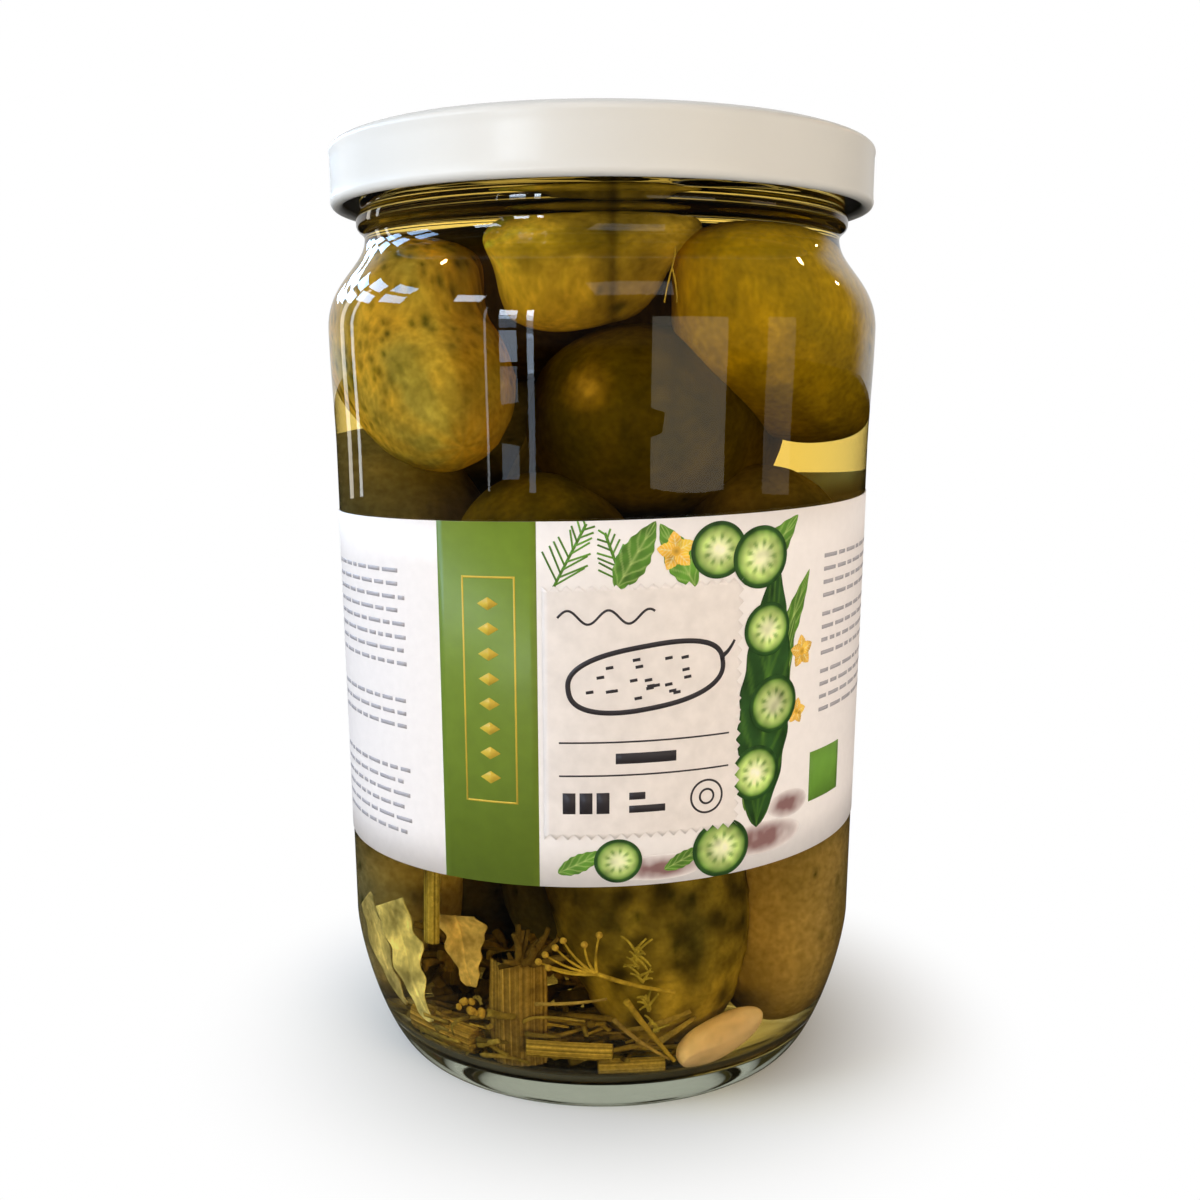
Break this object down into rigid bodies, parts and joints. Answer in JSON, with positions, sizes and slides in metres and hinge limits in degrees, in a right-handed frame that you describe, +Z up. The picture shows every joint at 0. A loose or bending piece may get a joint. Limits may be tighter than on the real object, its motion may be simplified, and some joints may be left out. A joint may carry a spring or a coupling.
{
  "type": "pickle jar",
  "caption": "Sealed glass jar of pickled gherkins in dill brine, with a white twist-off metal lid and a paper label wound round the straight body.",
  "frame": {"origin": "middle of the foot ring, on the surface the jar stands on", "axes": "+Z up along the jar's axis; the middle of the label faces -Y"},
  "size_m": [0.0898, 0.0898, 0.1508],
  "materials": {
    "glass": "clear soda-lime glass, faint green in the thick base",
    "lid_lacquer": "glossy white lacquer on pressed steel",
    "label_paper": "semi-gloss coated paper with printed fields of colour",
    "gherkin": "wet olive-yellow skin with small warts",
    "garlic": "wet peeled garlic, pinkish tan",
    "dill_stalk": "ribbed brown-olive stalk",
    "leaf": "soft faded leaf",
    "brine": "clear yellow-brown dill brine"
  },
  "bodies": {
    "root": {"jar_glass": "glass", "lid": "lid_lacquer", "label": "label_paper", "gherkins": "gherkin", "garlic_clove": "garlic", "dill_stalk_upright": "dill_stalk", "dill_stalk_left": "dill_stalk", "dill_stalk_right": "dill_stalk", "dill_stalk_front": "dill_stalk", "dill_stem_thin": "dill_stalk", "leaf_tall": "leaf", "leaf_low": "leaf", "leaf_corner": "leaf"}
  },
  "joints": []
}
